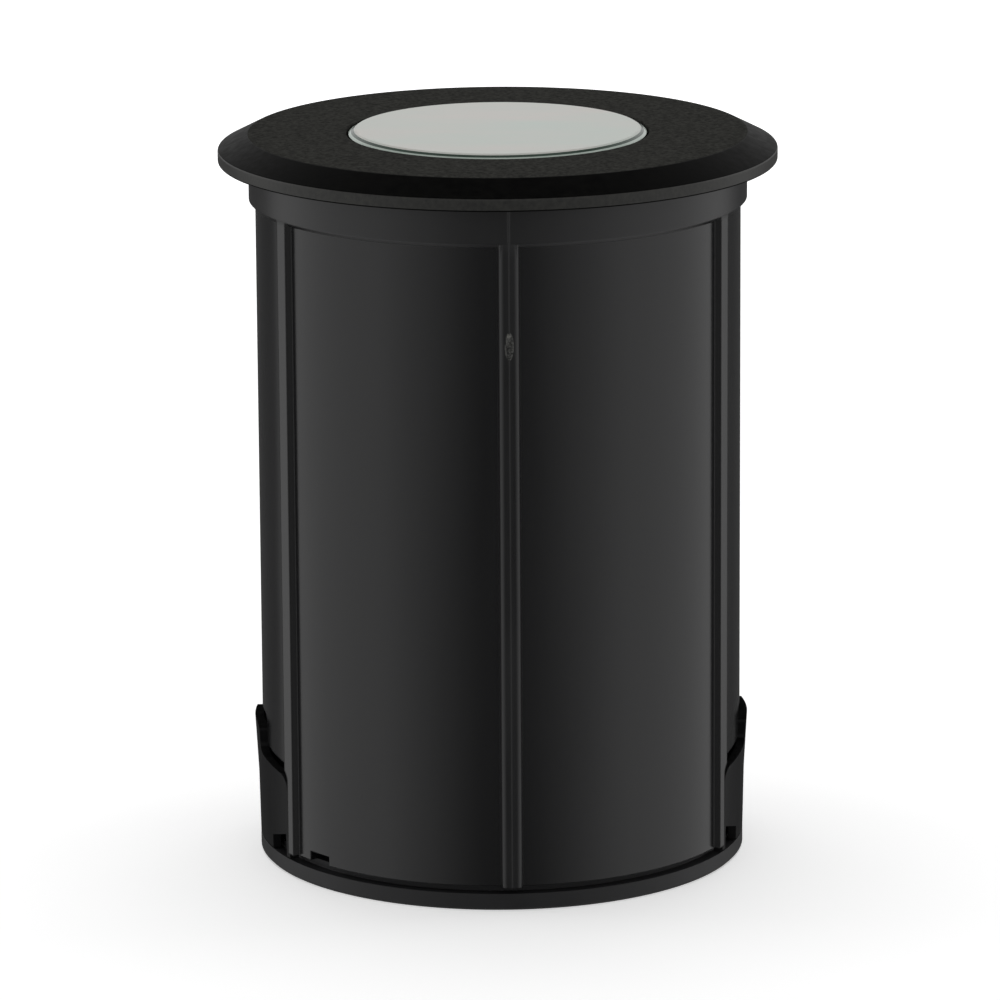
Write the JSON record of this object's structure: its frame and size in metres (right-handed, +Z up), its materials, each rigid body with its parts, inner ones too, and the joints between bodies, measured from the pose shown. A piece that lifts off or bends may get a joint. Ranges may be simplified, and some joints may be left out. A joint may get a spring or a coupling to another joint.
{
  "type": "recessed deck light",
  "caption": "Round recessed deck light: bevelled black trim flange, frosted glass lens and finned lamp body that lifts out of a ribbed mounting sleeve with a clip-on base cap.",
  "frame": {"origin": "centre of the base ring's underside, where the light stands", "axes": "+Z up through the lens, -Y to the front rib, +X to the right spring arm"},
  "size_m": [0.07, 0.07, 0.0927],
  "materials": {
    "sleeve_plastic": "moulded black, satin",
    "cap_plastic": "moulded black, matt",
    "arm_plastic": "moulded black, matt",
    "flange_paint": "fine textured black powder coat on cast aluminium",
    "gasket_rubber": "matt",
    "screw_steel": "plain stainless",
    "lens_glass": "polished, toughened",
    "seal_silicone": "pale silicone",
    "diffuser_opal": "opal white",
    "body_aluminium": "cast, satin",
    "grip_rubber": "matt",
    "reflector_chrome": "vacuum metallised",
    "pad_silicone": "soft heat pad",
    "led_board_white": "white solder mask",
    "led_phosphor": "yellow phosphor",
    "bush_nylon": "natural nylon",
    "pin_brass": "plated",
    "driver_board_green": "green solder mask",
    "capacitor_can": "black sleeved can",
    "ferrite": "ferrite",
    "winding_copper": "enamelled copper",
    "chip_epoxy": "black epoxy",
    "terminal_green": "green nylon",
    "cap_aluminium": "cast, satin",
    "gland_nylon": "black nylon"
  },
  "bodies": {
    "sleeve": {"mounting_sleeve": "sleeve_plastic", "base_cap": "cap_plastic"},
    "fitting": {"trim_flange": "flange_paint", "flange_gasket": "gasket_rubber", "flange_screws": "screw_steel", "glass_lens": "lens_glass", "lens_seal": "seal_silicone", "diffuser": "diffuser_opal", "lamp_body": "body_aluminium", "grip_ring_upper": "grip_rubber", "grip_ring_lower": "grip_rubber", "reflector": "reflector_chrome", "thermal_pad": "pad_silicone", "led_board": "led_board_white", "led_chips": "led_phosphor", "led_board_screws": "screw_steel", "pin_bush": "bush_nylon", "contact_pins": "pin_brass", "driver_board": "driver_board_green", "driver_screws": "screw_steel", "capacitor": "capacitor_can", "inductor_core": "ferrite", "inductor_winding": "winding_copper", "converter_chip": "chip_epoxy", "terminal_block": "terminal_green", "rear_cap": "cap_aluminium", "rear_seal": "gasket_rubber", "rear_cap_screws": "screw_steel", "gland_body": "gland_nylon", "gland_seal": "grip_rubber", "gland_nut": "gland_nylon"},
    "arm_right": {"clip_arm_right": "arm_plastic"},
    "arm_left": {"clip_arm_left": "arm_plastic"}
  },
  "joints": [
    {"name": "fitting_lift", "type": "slide", "parent": "sleeve", "child": "fitting", "axis": [0, 0, 1], "range_m": [0, 0.078]},
    {"name": "arm_right_flex", "type": "hinge", "parent": "sleeve", "child": "arm_right", "pos_m": [0.0292, 0, 0.00215], "axis": [0, 1, 0], "range_deg": [-1.9, 0], "stiffness_Nm_per_rad": 2.5},
    {"name": "arm_left_flex", "type": "hinge", "parent": "sleeve", "child": "arm_left", "pos_m": [-0.0292, 0, 0.00215], "axis": [0, -1, 0], "range_deg": [-1.9, 0], "stiffness_Nm_per_rad": 2.5}
  ]
}
